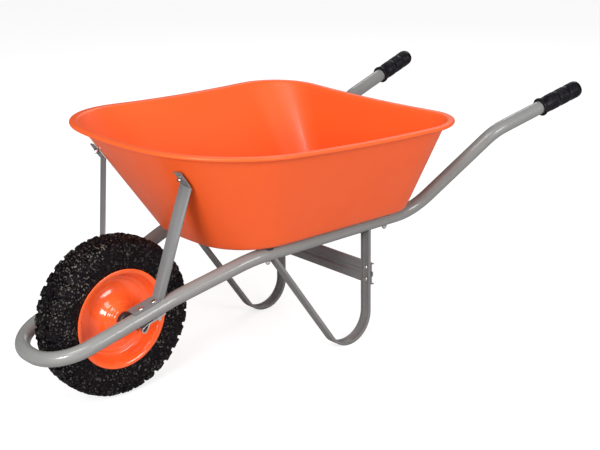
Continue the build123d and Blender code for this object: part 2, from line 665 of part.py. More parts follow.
def build_all():
    """Make every piece in place."""
    path = frame_path()
    rod = swept_along(path, Circle(TUBE_R))
    built["frame_tube"] = make_frame(path)
    add_pair("grip", make_grip())
    built["tray"] = make_tray()
    built["tray_pads"] = make_pads(rod)
    add_pair("front_strut", make_strut(tray_pan(0.0, 0.0, FLANGE_LIFT, FLOOR_EDGE_R), rod))
    add_pair("leg", make_leg(rod))
    built["cross_brace"] = make_brace()

    add_pair("axle_strap", make_strap())
    built["axle"] = make_axle()
    add_pair("axle_spacer", make_spacer())

    stem, cap, hole = make_valve()
    rim = make_rim_half()
    built["rim_half_left"] = rim
    built["rim_half_right"] = mirrored(rim) - hole
    built["hub_tube"] = make_hub_tube()
    add_pair("hub_bush", make_bush())
    built["tyre"] = make_tyre()
    inner_tube = make_inner_tube()
    built["inner_tube"] = inner_tube
    built["valve_stem"] = stem - turned_about_axle(Pos(INNER_TUBE_CENTRE_R, 0) * Circle(INNER_TUBE_R))
    built["valve_cap"] = cap

    tray_tops = [plane.offset(TRAY_SHEET) for plane in tray_bolt_planes()]
    add_fastening("tray", tray_tops, TRAY_SHEET + PAD_THICKNESS + TUBE_D)
    wall = tray_wall_at(strut_top_plane())
    wall += STRUT_HEAD_SEAT
    strut_insides = [flipped(plane, wall) for plane in strut_top_planes()]
    add_fastening("strut_top", strut_insides, wall + STRUT_SHEET)
    strap_tops = on_both_sides(front_run_plane(STRUT_BOLT_X).offset(STRUT_PLATE_TOP))
    add_fastening("strap", strap_tops, STRUT_SHEET + TUBE_D + 2 * STRAP_THICKNESS)
    brace_fronts = [
        Plane(origin=(LEG_REAR_X + LEG_SHEET, side * RAIL_Y, z), z_dir=(1, 0, 0))
        for side in (1, -1)
        for z in BRACE_BOLT_Z
    ]
    add_fastening("brace", brace_fronts, LEG_SHEET + BRACE_SHEET)
    rivet_tops = on_both_sides(front_run_plane(STRUT_RIVET_X).offset(STRUT_PLATE_TOP))
    rivet_grip = STRUT_SHEET + TUBE_WALL + RIVET_PLAY
    built["strut_rivets"] = Compound([plane * rivet(rivet_grip) for plane in rivet_tops])


def write_all():
    """Move everything to the final origin and write one STEP file a node."""
    box = Compound(list(built.values())).bounding_box()
    shift = Pos(-(box.min.X + box.max.X) / 2, -(box.min.Y + box.max.Y) / 2, -box.min.Z)
    os.makedirs("parts", exist_ok=True)
    for name, shape in built.items():
        moved = shift * shape
        moved.label = name
        export_step(moved, f"parts/{name}.step")


if __name__ == "__main__":
    build_all()
    write_all()
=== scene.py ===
"""Looks for a single-wheel wheelbarrow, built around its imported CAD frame."""

import logging
import math
from dataclasses import dataclass
from enum import Enum
from typing import Iterable, Sequence

import bmesh
import bpy
from mathutils import Matrix, Vector, noise


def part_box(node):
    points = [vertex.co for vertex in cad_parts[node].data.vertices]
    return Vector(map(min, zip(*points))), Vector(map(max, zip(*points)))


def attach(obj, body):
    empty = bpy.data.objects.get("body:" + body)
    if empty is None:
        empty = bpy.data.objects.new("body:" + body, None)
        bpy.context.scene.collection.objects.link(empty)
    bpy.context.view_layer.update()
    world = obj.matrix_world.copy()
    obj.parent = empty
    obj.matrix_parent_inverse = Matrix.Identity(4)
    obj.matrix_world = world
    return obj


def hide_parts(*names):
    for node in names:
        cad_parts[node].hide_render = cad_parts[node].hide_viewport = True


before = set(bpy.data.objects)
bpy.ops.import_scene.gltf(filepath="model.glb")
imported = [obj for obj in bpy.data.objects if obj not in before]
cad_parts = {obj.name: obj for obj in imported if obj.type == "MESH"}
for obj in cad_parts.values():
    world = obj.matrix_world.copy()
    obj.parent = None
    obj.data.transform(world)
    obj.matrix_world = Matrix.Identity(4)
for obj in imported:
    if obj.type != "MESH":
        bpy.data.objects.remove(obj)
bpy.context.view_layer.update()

LOG = logging.getLogger("wheelbarrow")
MM = 0.001
FULL_TURN = 2 * math.pi
MERGE_DISTANCE = 0.00001  # corners of a CAD mesh that are one corner
FLAT_ANGLE = math.radians(0.5)  # faces that bend less than this are one face


class Body(Enum):
    """The two moving groups of the barrow."""

    FRAME = "frame"
    WHEEL = "wheel"


class Side(Enum):
    """Which side of the barrow a piece is on."""

    LEFT = 1
    RIGHT = -1

    @property
    def word(self) -> str:
        """The word used in piece names."""
        return self.name.lower()


# ---------------------------------------------------------------- shader tools


class Graph:
    """Adds and joins shader nodes in one node tree."""

    def __init__(self, tree: bpy.types.NodeTree) -> None:
        """Keep the tree.

        Args:
            tree: Node tree to work in.
        """
        self.tree = tree

    def add(self, kind: str, inputs: dict | None = None, **settings: object) -> bpy.types.Node:
        """Add one node and feed its inputs.

        Args:
            kind: Blender's node type name.
            inputs: Socket name or index to a value or to another node's output.
            **settings: Properties to set on the node.

        Returns:
            The new node.
        """
        node = self.tree.nodes.new(kind)
        for name, value in settings.items():
            setattr(node, name, value)
        for socket, value in (inputs or {}).items():
            if isinstance(value, bpy.types.NodeSocket):
                self.tree.links.new(value, node.inputs[socket])
            else:
                node.inputs[socket].default_value = value
        return node

    def join(self, source: bpy.types.NodeSocket, target: bpy.types.NodeSocket) -> None:
        """Link an output, source, to an input, target."""
        self.tree.links.new(source, target)

    def noise(
        self, position: bpy.types.NodeSocket, scale: object, detail: float = 4.0
    ) -> bpy.types.NodeSocket:
        """A noise value.

        Args:
            position: Where to sample it.
            scale: Number or socket for the texture's scale.
            detail: Octaves of finer noise.

        Returns:
            The noise node's factor output.
        """
        inputs = {"Vector": position, "Scale": scale, "Detail": detail}
        return self.add("ShaderNodeTexNoise", inputs).outputs[0]

    def remap(
        self, value: bpy.types.NodeSocket, low: object, high: object, to_low: object, to_high: object
    ) -> bpy.types.NodeSocket:
        """Stretch a value from one range to another, clamped.

        Args:
            value: What to stretch.
            low: Start of the incoming range.
            high: End of the incoming range.
            to_low: Result at the start.
            to_high: Result at the end.

        Returns:
            The stretched value.
        """
        inputs = {0: value, 1: low, 2: high, 3: to_low, 4: to_high}
        return self.add("ShaderNodeMapRange", inputs).outputs[0]

    def math(self, operation: str, first: object, second: object) -> bpy.types.NodeSocket:
        """A maths node's result."""
        return self.add("ShaderNodeMath", {0: first, 1: second}, operation=operation).outputs[0]

    def mix(self, factor: object, first: object, second: object) -> bpy.types.NodeSocket:
        """Mix two colours.

        Args:
            factor: Share of the second colour.
            first: Colour or socket.
            second: Colour or socket.

        Returns:
            The mixed colour.
        """
        node = self.add("ShaderNodeMix", data_type="RGBA")
        for socket, value in zip((node.inputs[0], node.inputs[6], node.inputs[7]), (factor, first, second)):
            if isinstance(value, bpy.types.NodeSocket):
                self.join(value, socket)
            else:
                socket.default_value = value
        return node.outputs[2]


class Effects:
    """Shader node groups shared by the finishes, each built once."""

    _built: dict[str, bpy.types.NodeTree] = {}

    @classmethod
    def _start(
        cls, name: str, inputs: dict[str, float], outputs: Iterable[str]
    ) -> tuple[Graph, bpy.types.Node, bpy.types.Node]:
        """Start a group with a Position input and the given numbers.

        Args:
            name: Name of the group.
            inputs: Number inputs and their defaults.
            outputs: Names of the number outputs.

        Returns:
            The graph, the group's input node and its output node.
        """
        tree = bpy.data.node_groups.new(name, "ShaderNodeTree")
        tree.interface.new_socket("Position", in_out="INPUT", socket_type="NodeSocketVector")
        for label, value in inputs.items():
            socket = tree.interface.new_socket(label, in_out="INPUT", socket_type="NodeSocketFloat")
            socket.default_value = value
        for label in outputs:
            tree.interface.new_socket(label, in_out="OUTPUT", socket_type="NodeSocketFloat")
        cls._built[name] = tree
        graph = Graph(tree)
        return graph, graph.add("NodeGroupInput"), graph.add("NodeGroupOutput")

    @classmethod
    def mottle(cls) -> bpy.types.NodeTree:
        """Slow drift of shade: a multiplier close to 1."""
        if "Mottle" in cls._built:
            return cls._built["Mottle"]
        graph, given, result = cls._start("Mottle", {"Scale": 6.0, "Amount": 0.05}, ["Shade"])
        broad = graph.noise(given.outputs["Position"], given.outputs["Scale"], 3.0)
        fine_scale = graph.math("MULTIPLY", given.outputs["Scale"], 7.0)
        fine = graph.noise(given.outputs["Position"], fine_scale, 5.0)
        blend = graph.math("ADD", graph.math("MULTIPLY", broad, 0.7), graph.math("MULTIPLY", fine, 0.3))
        low = graph.math("SUBTRACT", 1.0, given.outputs["Amount"])
        high = graph.math("ADD", 1.0, given.outputs["Amount"])
        graph.join(graph.remap(blend, 0.35, 0.65, low, high), result.inputs["Shade"])
        return cls._built["Mottle"]

    @classmethod
    def grain(cls) -> bpy.types.NodeTree:
        """Fine height grain of a sprayed or moulded skin."""
        if "Grain" in cls._built:
            return cls._built["Grain"]
        graph, given, result = cls._start("Grain", {"Scale": 400.0, "Waviness": 0.4}, ["Height"])
        fine = graph.noise(given.outputs["Position"], given.outputs["Scale"], 2.0)
        slow_scale = graph.math("MULTIPLY", given.outputs["Scale"], 0.12)
        slow = graph.noise(given.outputs["Position"], slow_scale, 1.0)
        waves = graph.math("MULTIPLY", slow, given.outputs["Waviness"])
        graph.join(graph.math("ADD", fine, waves), result.inputs["Height"])
        return cls._built["Grain"]

    @classmethod
    def scuffs(cls) -> bpy.types.NodeTree:
        """Thin handling marks: a mask that is 0 on clean skin."""
        if "Scuffs" in cls._built:
            return cls._built["Scuffs"]
        graph, given, result = cls._start("Scuffs", {"Scale": 30.0, "Amount": 0.1}, ["Mask"])
        way = {"Vector": given.outputs["Position"], "Rotation": (0.3, 0.5, 0.8), "Scale": (1.0, 9.0, 4.0)}
        stretch = graph.add("ShaderNodeMapping", way)
        lines = graph.noise(stretch.outputs[0], given.outputs["Scale"], 6.0)
        places = graph.noise(given.outputs["Position"], 9.0, 2.0)
        start = graph.math("SUBTRACT", 0.72, given.outputs["Amount"])
        thin = graph.remap(lines, start, 0.8, 0.0, 1.0)
        where = graph.remap(places, 0.5, 0.62, 0.0, 1.0)
        graph.join(graph.math("MULTIPLY", thin, where), result.inputs["Mask"])
        return cls._built["Scuffs"]

    @classmethod
    def dust(cls) -> bpy.types.NodeTree:
        """Dust that gathers towards the ground and in patches: a mask."""
        if "Dust" in cls._built:
            return cls._built["Dust"]
        graph, given, result = cls._start("Dust", {"Height": 0.15, "Amount": 0.2}, ["Mask"])
        parts = graph.add("ShaderNodeSeparateXYZ", {0: given.outputs["Position"]})
        low = graph.remap(parts.outputs[2], 0.0, given.outputs["Height"], 1.0, 0.0)
        patch = graph.remap(graph.noise(given.outputs["Position"], 25.0, 6.0), 0.4, 0.7, 0.0, 1.0)
        both = graph.math("MULTIPLY", low, patch)
        graph.join(graph.math("MULTIPLY", both, given.outputs["Amount"]), result.inputs["Mask"])
        return cls._built["Dust"]


@dataclass(frozen=True)
class Finish:
    """Values that every finish has.

    Attributes:
        name: Name of the material.
        color: Base colour, linear.
        roughness: Mean roughness.
        gloss: Strength of the plain reflection, 0.5 for most skins.
    """

    name: str
    color: tuple[float, float, float]
    roughness: float
    gloss: float = 0.5

    def start(self) -> tuple[Graph, bpy.types.Material, bpy.types.Node, bpy.types.NodeSocket]:
        """Make an empty material with its shader.

        Returns:
            The graph, the material, its Principled shader and the object position.
        """
        material = bpy.data.materials.new(self.name)
        material.use_nodes = True
        material.node_tree.nodes.clear()
        graph = Graph(material.node_tree)
        shader = graph.add("ShaderNodeBsdfPrincipled", {"Specular IOR Level": self.gloss})
        output = graph.add("ShaderNodeOutputMaterial")
        graph.join(shader.outputs[0], output.inputs[0])
        position = graph.add("ShaderNodeTexCoord").outputs["Object"]
        return graph, material, shader, position

    @staticmethod
    def effect(
        graph: Graph, tree: bpy.types.NodeTree, position: bpy.types.NodeSocket, **values: float
    ) -> bpy.types.NodeSocket:
        """Place a shared group.

        Args:
            graph: Graph of the material.
            tree: The group.
            position: Object position.
            **values: Numbers for the group's inputs.

        Returns:
            The group's first output.
        """
        node = graph.add("ShaderNodeGroup", node_tree=tree)
        graph.join(position, node.inputs["Position"])
        for name, value in values.items():
            node.inputs[name].default_value = value
        return node.outputs[0]

    def tinted(self, graph: Graph, shade: bpy.types.NodeSocket) -> bpy.types.NodeSocket:
        """The base colour multiplied by a shade.

        Args:
            graph: Graph of the material.
            shade: Multiplier close to 1.

        Returns:
            The varied colour.
        """
        node = graph.add("ShaderNodeVectorMath", {0: self.color, 1: shade}, operation="MULTIPLY")
        return node.outputs[0]


@dataclass(frozen=True)
class Paint(Finish):
    """Sprayed or powder-coated paint on steel.

    Attributes:
        coat: Weight of the clear gloss.
        grain: Depth of the orange peel, metres.
        grain_scale: Scale of the orange peel.
        mottle: How far the shade drifts.
        scuff: How much handling shows.
        dust: How much dust gathers low down.
    """

    coat: float = 0.3
    grain: float = 0.00012
    grain_scale: float = 260.0
    mottle: float = 0.05
    scuff: float = 0.05
    dust: float = 0.15

    def material(self) -> bpy.types.Material:
        """Build the paint."""
        graph, material, shader, position = self.start()
        shade = self.effect(graph, Effects.mottle(), position, Scale=5.0, Amount=self.mottle)
        marks = self.effect(graph, Effects.scuffs(), position, Scale=26.0, Amount=self.scuff)
        dust = self.effect(graph, Effects.dust(), position, Height=0.35, Amount=self.dust)
        pale = (*(0.75 * channel + 0.12 for channel in self.color), 1.0)
        worn = graph.mix(graph.math("MULTIPLY", marks, 0.35), self.tinted(graph, shade), pale)
        dusty = graph.mix(dust, worn, (0.35, 0.31, 0.27, 1.0))
        graph.join(dusty, shader.inputs["Base Color"])
        patch = graph.noise(position, 14.0, 5.0)
        rough = graph.remap(patch, 0.3, 0.7, self.roughness - 0.05, self.roughness + 0.06)
        rough = graph.math("ADD", rough, graph.math("MULTIPLY", marks, 0.2))
        graph.join(graph.math("ADD", rough, graph.math("MULTIPLY", dust, 0.3)), shader.inputs["Roughness"])
        shader.inputs["Coat Weight"].default_value = self.coat
        shader.inputs["Coat Roughness"].default_value = 0.06
        height = self.effect(graph, Effects.grain(), position, Scale=self.grain_scale, Waviness=1.2)
        bump = graph.add("ShaderNodeBump", {"Height": height, "Distance": self.grain, "Strength": 0.5})
        graph.join(bump.outputs[0], shader.inputs["Normal"])
        return material


@dataclass(frozen=True)
class Metal(Finish):
    """Bare or zinc-plated steel.

    Attributes:
        grain: Depth of the surface marks, metres.
        stain: How much dull oxide shows.
    """

    grain: float = 0.00006
    stain: float = 0.35

    def material(self) -> bpy.types.Material:
        """Build the metal."""
        graph, material, shader, position = self.start()
        shade = self.effect(graph, Effects.mottle(), position, Scale=45.0, Amount=0.12)
        marks = self.effect(graph, Effects.scuffs(), position, Scale=120.0, Amount=0.12)
        dull = graph.remap(graph.noise(position, 90.0, 5.0), 0.45, 0.7, 0.0, self.stain)
        color = graph.mix(dull, self.tinted(graph, shade), (0.22, 0.21, 0.19, 1.0))
        graph.join(color, shader.inputs["Base Color"])
        shader.inputs["Metallic"].default_value = 1.0
        rough = graph.math("ADD", graph.math("MULTIPLY", dull, 0.5), self.roughness)
        graph.join(graph.math("ADD", rough, graph.math("MULTIPLY", marks, 0.15)), shader.inputs["Roughness"])
        height = self.effect(graph, Effects.grain(), position, Scale=900.0, Waviness=0.6)
        bump = graph.add("ShaderNodeBump", {"Height": height, "Distance": self.grain, "Strength": 0.5})
        graph.join(bump.outputs[0], shader.inputs["Normal"])
        return material


@dataclass(frozen=True)
class Moulded(Finish):
    """Moulded black rubber or plastic.

    Attributes:
        grain: Depth of the moulded grain, metres.
        grain_scale: Scale of the grain.
        pale: Colour of rubbed high spots, linear.
        rub: How much of the skin is rubbed.
    """

    grain: float = 0.0003
    grain_scale: float = 350.0
    pale: tuple[float, float, float] = (0.06, 0.055, 0.055)
    rub: float = 0.3

    def material(self) -> bpy.types.Material:
        """Build the rubber."""
        graph, material, shader, position = self.start()
        shade = self.effect(graph, Effects.mottle(), position, Scale=20.0, Amount=0.25)
        height = self.effect(graph, Effects.grain(), position, Scale=self.grain_scale, Waviness=0.8)
        speck = graph.remap(height, 0.95, 1.25, 0.0, self.rub)
        dust = self.effect(graph, Effects.dust(), position, Height=0.4, Amount=0.12)
        color = graph.mix(speck, self.tinted(graph, shade), (*self.pale, 1.0))
        graph.join(graph.mix(dust, color, (0.2, 0.18, 0.16, 1.0)), shader.inputs["Base Color"])
        patch = graph.noise(position, 60.0, 4.0)
        rough = graph.remap(patch, 0.3, 0.7, self.roughness - 0.08, self.roughness + 0.08)
        graph.join(rough, shader.inputs["Roughness"])
        bump = graph.add("ShaderNodeBump", {"Height": height, "Distance": self.grain, "Strength": 0.8})
        graph.join(bump.outputs[0], shader.inputs["Normal"])
        return material


@dataclass(frozen=True)
class TreadRubber(Finish):
    """Coarse, gritty tyre rubber with pale brownish specks painted into its colour as glints.

    Attributes:
        pale: Colour of the painted glint specks, linear.
        grit: Depth of the coarse grit, metres.
    """

    pale: tuple[float, float, float] = (0.30, 0.26, 0.225)
    grit: float = 0.004

    def material(self) -> bpy.types.Material:
        """Build the tyre's rubber."""
        graph, material, shader, position = self.start()
        shade = self.effect(graph, Effects.mottle(), position, Scale=14.0, Amount=0.35)
        coarse = graph.noise(position, 150.0, 5.0)
        spots = graph.add("ShaderNodeTexVoronoi", {"Vector": position, "Scale": 210.0}, feature="F1")
        cells = spots.outputs[0]
        height = graph.math("SUBTRACT", coarse, graph.math("MULTIPLY", cells, 0.5))
        # Painted highlight: pale specks on the grit's high points are painted into the colour to stand in
        # for glints of the rough rubber.
        painted_glint_specks = graph.remap(height, 0.33, 0.47, 0.0, 1.0)
        zone = graph.remap(graph.noise(position, 16.0, 4.0), 0.40, 0.66, 0.12, 0.6)
        color = graph.mix(graph.math("MULTIPLY", painted_glint_specks, zone), self.tinted(graph, shade), (*self.pale, 1.0))
        graph.join(color, shader.inputs["Base Color"])
        rough = graph.remap(coarse, 0.3, 0.7, self.roughness - 0.12, self.roughness + 0.12)
        graph.join(rough, shader.inputs["Roughness"])
        bump = graph.add("ShaderNodeBump", {"Height": height, "Distance": self.grit, "Strength": 0.9})
        graph.join(bump.outputs[0], shader.inputs["Normal"])
        return material


ORANGE_POWDER = Paint(
    "tray_orange", (0.90, 0.114, 0.020), 0.4, 0.3, coat=0.04, mottle=0.02, scuff=0.02, dust=0.05
)
ORANGE_GLOSS = Paint(
    "rim_orange", (0.95, 0.118, 0.021), 0.25, 0.3, coat=0.8, mottle=0.02, scuff=0.02, dust=0.03
)
GREY_TUBE = Paint("tube_grey", (0.225, 0.225, 0.218), 0.34, coat=0.35, grain=0.0001, mottle=0.06)
GREY_BRACKET = Paint("bracket_grey", (0.165, 0.165, 0.166), 0.45, coat=0.15, grain=0.00015, mottle=0.09)
ZINC = Metal("bright_zinc", (0.78, 0.78, 0.76), 0.26)
PLAIN_STEEL = Metal("plain_steel", (0.42, 0.41, 0.40), 0.34)
DARK_STEEL = Metal("dark_steel", (0.035, 0.035, 0.038), 0.4)
TYRE_RUBBER = TreadRubber("tyre_rubber", (0.0028, 0.0018, 0.0032), 0.5, 0.12)
GRIP_RUBBER = Moulded("grip_rubber", (0.006, 0.0045, 0.0075), 0.45, 0.2)
BLACK_PLASTIC = Moulded("black_plastic", (0.012, 0.013, 0.018), 0.42, grain=0.0001)
PAD_RUBBER = Moulded("pad_rubber", (0.02, 0.02, 0.02), 0.6)


class Wardrobe:
    """Hands out each finish's material, built once."""

    _made: dict[str, bpy.types.Material] = {}

    @classmethod
    def get(cls, finish: Finish) -> bpy.types.Material:
        """The material of a finish."""
        if finish.name not in cls._made:
            cls._made[finish.name] = finish.material()
        return cls._made[finish.name]


# ---------------------------------------------------------------- mesh tools


def finish_piece(
    mesh: bmesh.types.BMesh,
    name: str,
    body: Body,
    finish: Finish,
    nodes: Sequence[str] = (),
    sharp: float = 35.0,
) -> bpy.types.Object:
    """Turn a bmesh into a finished piece of the barrow.

    Args:
        mesh: The shape, in metres in the row frame. It is freed.
        name: Name of the piece.
        body: Body it rides on.
        finish: Its finish.
        nodes: CAD nodes it stands for.
        sharp: Edges bent by more than this many degrees stay sharp.

    Returns:
        The new object.
    """
    data = bpy.data.meshes.new(name)
    mesh.to_mesh(data)
    mesh.free()
    data.shade_smooth()
    data.set_sharp_from_angle(angle=math.radians(sharp))
    piece = bpy.data.objects.new(name, data)
    bpy.context.scene.collection.objects.link(piece)
    data.materials.append(Wardrobe.get(finish))
    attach(piece, body.value)
    if nodes:
        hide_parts(*nodes)
    LOG.info("%s: %d faces", name, len(data.polygons))
    return piece


def spun(points: Sequence[tuple[float, float]], steps: int, closed: bool = False) -> bmesh.types.BMesh:
    """Spin a profile into a ring.

    Args:
        points: Profile as (distance from the axis, place along it), metres. The axis is Y.
        steps: Number of steps round.
        closed: Whether the last point joins the first.

    Returns:
        The ring, centred on the origin, with its normals outwards.
    """
    mesh = bmesh.new()
    verts = [mesh.verts.new((radius, along, 0.0)) for radius, along in points]
    pairs = list(zip(verts, verts[1:]))
    if closed:
        pairs.append((verts[-1], verts[0]))
    edges = [mesh.edges.new(pair) for pair in pairs]
    bmesh.ops.spin(
        mesh,
        geom=verts + edges,
        cent=(0, 0, 0),
        axis=(0, 1, 0),
        angle=FULL_TURN,
        steps=steps,
        use_merge=True,
        use_duplicate=False,
    )
    bmesh.ops.recalc_face_normals(mesh, faces=mesh.faces)
    return mesh


def softened(
    node: str, width: float, body: Body, finish: Finish, bend: float = 28.0
) -> bpy.types.Object:
    """Replace a CAD node by a copy with softened edges.

    Args:
        node: Name of the CAD node.
        width: Width of the softened edge, metres.
        body: Body it rides on.
        finish: Its finish.
        bend: Edges bent by more than this many degrees are softened.

    Returns:
        The new object.
    """
    mesh = bmesh.new()
    mesh.from_mesh(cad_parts[node].data)
    bmesh.ops.remove_doubles(mesh, verts=mesh.verts, dist=MERGE_DISTANCE)
    bmesh.ops.dissolve_limit(mesh, angle_limit=FLAT_ANGLE, verts=mesh.verts, edges=mesh.edges)
    limit = math.radians(bend)
    edges = [edge for edge in mesh.edges if edge.is_manifold and edge.calc_face_angle(0.0) > limit]
    bmesh.ops.bevel(
        mesh,
        geom=edges,
        offset=width,
        offset_type="OFFSET",
        segments=2,
        profile=0.5,
        affect="EDGES",
        clamp_overlap=True,
        material=-1,
    )
    return finish_piece(mesh, f"{node}_skin", body, finish, [node])


def dress(node: str, finish: Finish) -> None:
    """Give a CAD node that keeps its shape a finish."""
    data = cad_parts[node].data
    data.materials.clear()
    data.materials.append(Wardrobe.get(finish))


AXLE_LOW, AXLE_HIGH = (Vector(corner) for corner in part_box("axle"))
HUB = (AXLE_LOW + AXLE_HIGH) / 2


# ---------------------------------------------------------------- tray


@dataclass
class Outline:
    """Plan outline with rounded corners, placed from the hub, in metres.

    Attributes:
        front: Where its front edge crosses the middle.
        front_corner: Sharp front left corner.
        rear_corner: Sharp rear left corner.
        front_radius: Rounding of the front corners.
        rear_radius: Rounding of the rear corners.
        bow_radius: Rounding of the front edge's middle.
    """

    front: float
    front_corner: tuple[float, float]
    rear_corner: tuple[float, float]
    front_radius: float
    rear_radius: float
    bow_radius: float = 0.9

    def points(self, arc_steps: int, run_steps: int) -> list[tuple[Vector, Vector]]:
        """Points round the outline with their outward directions.

        Args:
            arc_steps: Steps round each corner.
            run_steps: Steps along each straight run.

        Returns:
            Pairs of point and outward direction, counter-clockwise seen from above.
        """
        (fx, fy), (rx, ry) = self.front_corner, self.rear_corner
        plan = ((self.front, 0), (fx, fy), (rx, ry), (rx, -ry), (fx, -fy))
        corners = [Vector((x, y, 0)) for x, y in plan]
        radii = [self.bow_radius, self.front_radius, self.rear_radius, self.rear_radius, self.front_radius]
        result: list[tuple[Vector, Vector]] = []
        for index, (corner, radius) in enumerate(zip(corners, radii)):
            come = (corner - corners[index - 1]).normalized()
            leave = (corners[(index + 1) % len(corners)] - corner).normalized()
            turn = come.angle(leave)
            start = corner - come * radius * math.tan(turn / 2)
            outward = Vector((come.y, -come.x, 0))
            centre = start - outward * radius
            for step in range(arc_steps + 1):
                way = Matrix.Rotation(turn * step / arc_steps, 3, "Z") @ outward
                result.append((centre + way * radius, way))
            following = corners[(index + 1) % len(corners)]
            after = (corners[(index + 2) % len(corners)] - following).normalized()
            next_turn = leave.angle(after)
            end = following - leave * radii[(index + 1) % len(corners)] * math.tan(next_turn / 2)
            last, way = result[-1]
            for step in range(1, run_steps):
                result.append((last.lerp(end, step / run_steps), way))
        return result


@dataclass
class Tray:
    """Pressed tray: floor, rounded edge, flared walls, flange and rolled rim.

    Attributes:
        floor: Outline of the floor before its edge is rounded.
        rim: Outline of the rim at the centre of the rolled edge.
        floor_edge: Radius between the floor and the walls.
        flange: From the wall to the centre of the rolled edge.
        flange_edge: Radius between the walls and the flange.
        bead: Outside radius of the rolled edge.
        sheet: Thickness of the sheet.
        arc_steps: Steps round each corner.
        run_steps: Steps along each straight run.
        wall_steps: Steps up the wall.
    """

    floor: Outline
    rim: Outline
    floor_edge: float = 0.022
    flange: float = 0.0135
    flange_edge: float = 0.008
    bead: float = 0.0045
    sheet: float = 0.0015
    arc_steps: int = 14
    run_steps: int = 6
    wall_steps: int = 12

    @staticmethod
    def rim_height(x: float, y: float) -> float:
        """Height of the rolled edge's centre.

        Args:
            x: Place along the barrow, from the hub.
            y: Place across it, from the middle.

        Returns:
            The height above the ground. It rises to the front and, a little, to the sides.
        """
        along = x + 0.4633
        return 0.5456 + 0.0333 * along + 0.0129 * (along / 0.38) ** 2 + 0.0088 * (y / 0.33) ** 2

    def stations(self, foot: Vector, out: Vector, edge: Vector, way: Vector) -> list[Vector]:
        """Points from the floor up one wall and round the rolled edge.

        Args:
            foot: Sharp floor point.
            out: Outward direction at the floor.
            edge: Centre of the rolled edge.
            way: Outward direction at the rim.

        Returns:
            The points, from the inside of the floor to the end of the roll.
        """
        inner = self.bead - self.sheet
        top = edge - way * self.flange + Vector((0, 0, inner))
        wall = (top - foot).normalized()
        turn = out.angle(wall)
        rise = (wall - out * wall.dot(out)).normalized()
        reach = self.floor_edge * math.tan(turn / 2)
        line = [foot - out * (reach + 0.03)]
        for step in range(9):
            angle = turn * step / 8
            bent = out * math.sin(angle) + rise * (1 - math.cos(angle))
            line.append(foot - out * reach + bent * self.floor_edge)
        top_turn = wall.angle(way)
        lean = (way - wall * way.dot(wall)).normalized()
        top_reach = self.flange_edge * math.tan(top_turn / 2)
        low, high = line[-1], top - wall * top_reach
        for step in range(1, self.wall_steps):
            line.append(low.lerp(high, step / self.wall_steps))
        for step in range(6):
            angle = top_turn * step / 5
            bent = wall * math.sin(angle) + lean * (1 - math.cos(angle))
            line.append(high + bent * self.flange_edge)
        line.append(edge - way * 0.002 + Vector((0, 0, inner)))
        for step in range(13):
            angle = math.radians(270) * step / 12
            line.append(edge + way * inner * math.sin(angle) + Vector((0, 0, inner * math.cos(angle))))
        return line

    def build(self) -> None:
        """Build the tray by growing rings outwards from the floor."""
        feet = self.floor.points(self.arc_steps, self.run_steps)
        edges = self.rim.points(self.arc_steps, self.run_steps)
        floor_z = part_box("tray")[0][2]
        columns = []
        for (foot, out), (edge, way) in zip(feet, edges):
            low = Vector((foot.x + HUB.x, foot.y, floor_z))
            high = Vector((edge.x + HUB.x, edge.y, self.rim_height(edge.x, edge.y)))
            columns.append(self.stations(low, out, high, way))
        mesh = bmesh.new()
        ring = bmesh.ops.create_circle(mesh, cap_ends=True, segments=len(columns), radius=0.1)["verts"]
        ring.sort(key=lambda vert: math.atan2(vert.co.y, vert.co.x) % FULL_TURN)
        for vert, column in zip(ring, columns):
            vert.co = column[0]
        loop = [edge for edge in mesh.edges if edge.is_boundary]
        owner = {vert: index for index, vert in enumerate(ring)}
        for level in range(1, len(columns[0])):
            grown = bmesh.ops.extrude_edge_only(mesh, edges=loop)["geom"]
            loop = [item for item in grown if isinstance(item, bmesh.types.BMEdge)]
            fresh = [item for item in grown if isinstance(item, bmesh.types.BMVert)]
            owner = self.moved(fresh, owner, columns, level)
        bmesh.ops.recalc_face_normals(mesh, faces=mesh.faces)
        lowest = min(mesh.faces, key=lambda face: face.calc_center_median().z)
        if lowest.normal.z > 0:
            bmesh.ops.reverse_faces(mesh, faces=mesh.faces)
        piece = finish_piece(mesh, "tray_shell", Body.FRAME, ORANGE_POWDER, ["tray"], 60.0)
        wall = piece.modifiers.new("sheet", "SOLIDIFY")
        wall.thickness = self.sheet
        wall.offset = -1.0
        wall.use_even_offset = True

    @staticmethod
    def moved(
        fresh: list[bmesh.types.BMVert],
        owner: dict[bmesh.types.BMVert, int],
        columns: list[list[Vector]],
        level: int,
    ) -> dict[bmesh.types.BMVert, int]:
        """Move a freshly grown ring to its level.

        Args:
            fresh: New vertices, still on top of the old ring.
            owner: Column number of each old vertex.
            columns: Station points of every column.
            level: Level to move to.

        Returns:
            Column number of each new vertex.
        """
        result = {}
        for vert in fresh:
            below = next(other for edge in vert.link_edges if (other := edge.other_vert(vert)) in owner)
            result[vert] = owner[below]
        for vert, index in result.items():
            vert.co = columns[index][level]
        return result


# ---------------------------------------------------------------- wheel


